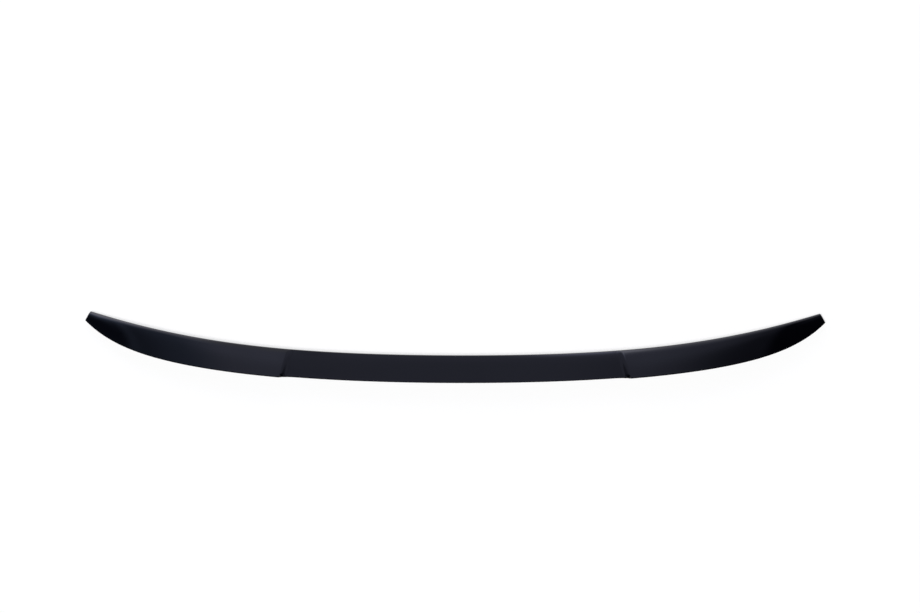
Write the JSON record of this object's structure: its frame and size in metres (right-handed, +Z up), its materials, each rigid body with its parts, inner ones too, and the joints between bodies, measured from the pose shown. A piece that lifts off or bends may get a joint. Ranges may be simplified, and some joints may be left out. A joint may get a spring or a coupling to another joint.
{
  "type": "car rear spoiler",
  "caption": "Thin forward-swept boot-lid lip spoiler in gloss black, with a shallow stepped recess across its middle and taped underside.",
  "frame": {"origin": "middle of the moulding's rear lower edge, the whole of which lies in the plane z = 0", "axes": "+X across the car to its right, +Y to the car's front, +Z up"},
  "size_m": [1.2316, 0.1403, 0.0219],
  "materials": {
    "gloss_black": "high-gloss injection-moulded black plastic",
    "foam_tape": "dark grey double-sided foam tape"
  },
  "bodies": {
    "root": {"spoiler_lip": "gloss_black", "front_tape": "foam_tape", "rear_tape": "foam_tape"}
  },
  "joints": []
}
